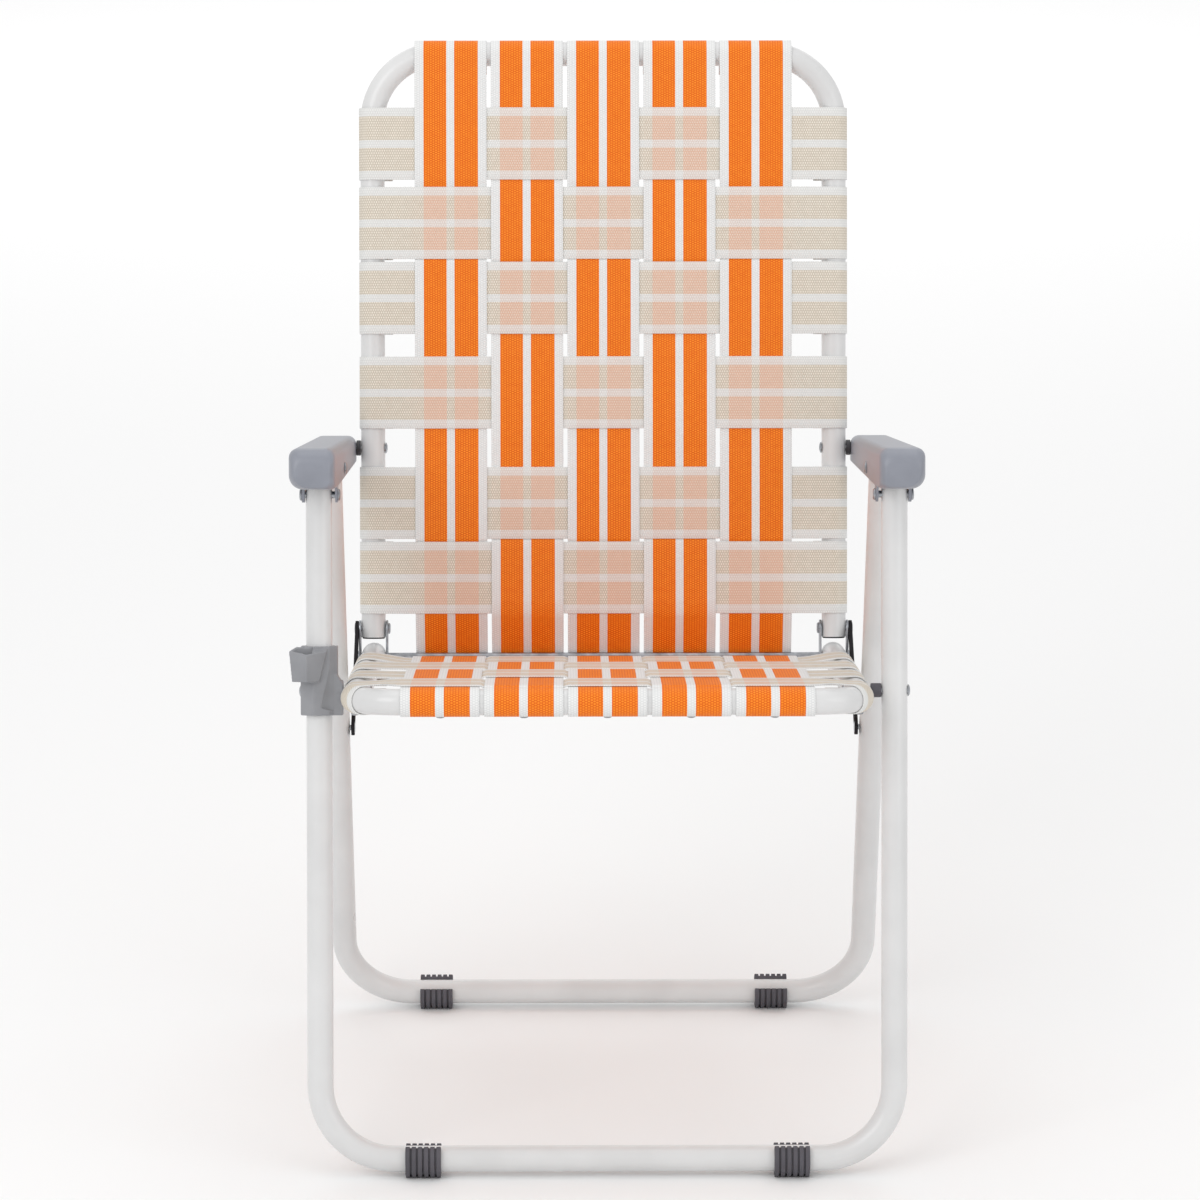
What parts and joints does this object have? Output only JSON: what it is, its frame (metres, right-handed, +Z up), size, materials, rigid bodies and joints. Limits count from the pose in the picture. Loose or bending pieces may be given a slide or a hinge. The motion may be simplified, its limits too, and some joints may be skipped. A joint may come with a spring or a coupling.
{
  "type": "folding webbed lawn chair",
  "caption": "Folding lawn chair with U-shaped round-tube legs, woven flat webbing on seat and backrest, plastic armrests and clip-on feet.",
  "frame": {"origin": "on the floor, on the middle plane, half way between the foremost and rearmost points", "axes": "+X to the right as seen from the front, +Y from the front of the seat to the backrest, +Z up"},
  "size_m": [0.528, 0.5928, 0.8856],
  "materials": {
    "powder_coat": "glossy white powder coat on steel tube",
    "orange_webbing": "orange polypropylene webbing with white edge and inner stripes",
    "beige_webbing": "beige polypropylene webbing with white edge and inner stripes",
    "arm_plastic": "moulded bluish grey polypropylene with a fine satin texture",
    "grey_plastic": "moulded grey polypropylene",
    "dark_plastic": "moulded dark grey plastic",
    "zinc": "bright zinc-plated steel"
  },
  "bodies": {
    "front_legs": {"front_leg_frame": "powder_coat", "front_foot_left": "dark_plastic", "front_foot_right": "dark_plastic", "cup_bracket_left": "grey_plastic", "seat_bush_right": "dark_plastic", "seat_bolt_left": "zinc", "seat_bolt_right": "zinc"},
    "seat": {"seat_frame": "powder_coat", "hinge_plate_left_outer": "zinc", "hinge_plate_left_inner": "zinc", "hinge_plate_right_outer": "zinc", "hinge_plate_right_inner": "zinc", "hinge_rod": "zinc", "rail_plug_left": "grey_plastic", "rail_plug_right": "grey_plastic", "seat_cross_strap_1": "beige_webbing", "seat_cross_strap_2": "beige_webbing", "seat_cross_strap_3": "beige_webbing", "seat_cross_strap_4": "beige_webbing", "seat_long_strap_1": "orange_webbing", "seat_long_strap_2": "orange_webbing", "seat_long_strap_3": "orange_webbing", "seat_long_strap_4": "orange_webbing", "seat_long_strap_5": "orange_webbing"},
    "backrest": {"back_frame": "powder_coat", "hinge_rivet_left": "zinc", "hinge_rivet_right": "zinc", "back_cross_strap_1": "beige_webbing", "back_cross_strap_2": "beige_webbing", "back_cross_strap_3": "beige_webbing", "back_cross_strap_4": "beige_webbing", "back_cross_strap_5": "beige_webbing", "back_cross_strap_6": "beige_webbing", "back_long_strap_1": "orange_webbing", "back_long_strap_2": "orange_webbing", "back_long_strap_3": "orange_webbing", "back_long_strap_4": "orange_webbing", "back_long_strap_5": "orange_webbing"},
    "armrests": {"armrest_left": "arm_plastic", "armrest_right": "arm_plastic", "arm_front_pin_left": "zinc", "arm_front_pin_right": "zinc", "arm_rear_pin_left": "zinc", "arm_rear_pin_right": "zinc", "arm_bush_left": "dark_plastic", "arm_bush_right": "dark_plastic", "arm_back_bolt_left": "zinc", "arm_back_bolt_right": "zinc"},
    "rear_legs": {"rear_leg_frame": "powder_coat", "rear_foot_left": "dark_plastic", "rear_foot_right": "dark_plastic", "strut_rivet_left": "zinc", "strut_rivet_right": "zinc"},
    "struts": {"strut_left": "dark_plastic", "strut_right": "dark_plastic"}
  },
  "joints": [
    {"name": "seat_fold", "type": "hinge", "parent": "front_legs", "child": "seat", "pos_m": [0, -0.19916, 0.40039], "axis": [-1, 0, 0], "range_deg": [0, 86]},
    {"name": "arms_fold", "type": "hinge", "parent": "front_legs", "child": "armrests", "pos_m": [0, -0.16491, 0.56152], "axis": [-1, 0, 0], "range_deg": [0, 86]},
    {"name": "back_fold", "type": "hinge", "parent": "seat", "child": "backrest", "pos_m": [0, 0.17555, 0.36199], "axis": [1, 0, 0], "range_deg": [0, 86]},
    {"name": "rear_leg_fold", "type": "hinge", "parent": "armrests", "child": "rear_legs", "pos_m": [0, -0.03369, 0.55648], "axis": [1, 0, 0], "range_deg": [0, 53.1]},
    {"name": "strut_fold", "type": "hinge", "parent": "backrest", "child": "struts", "pos_m": [0, 0.17555, 0.36199], "axis": [-1, 0, 0], "range_deg": [0, 123.1]}
  ],
  "couplings": [
    {"joint": "arms_fold", "follows": "seat_fold", "ratio": 1},
    {"joint": "back_fold", "follows": "seat_fold", "ratio": 1},
    {"joint": "rear_leg_fold", "follows": "seat_fold", "ratio": 0.616},
    {"joint": "strut_fold", "follows": "seat_fold", "ratio": 1.43}
  ]
}
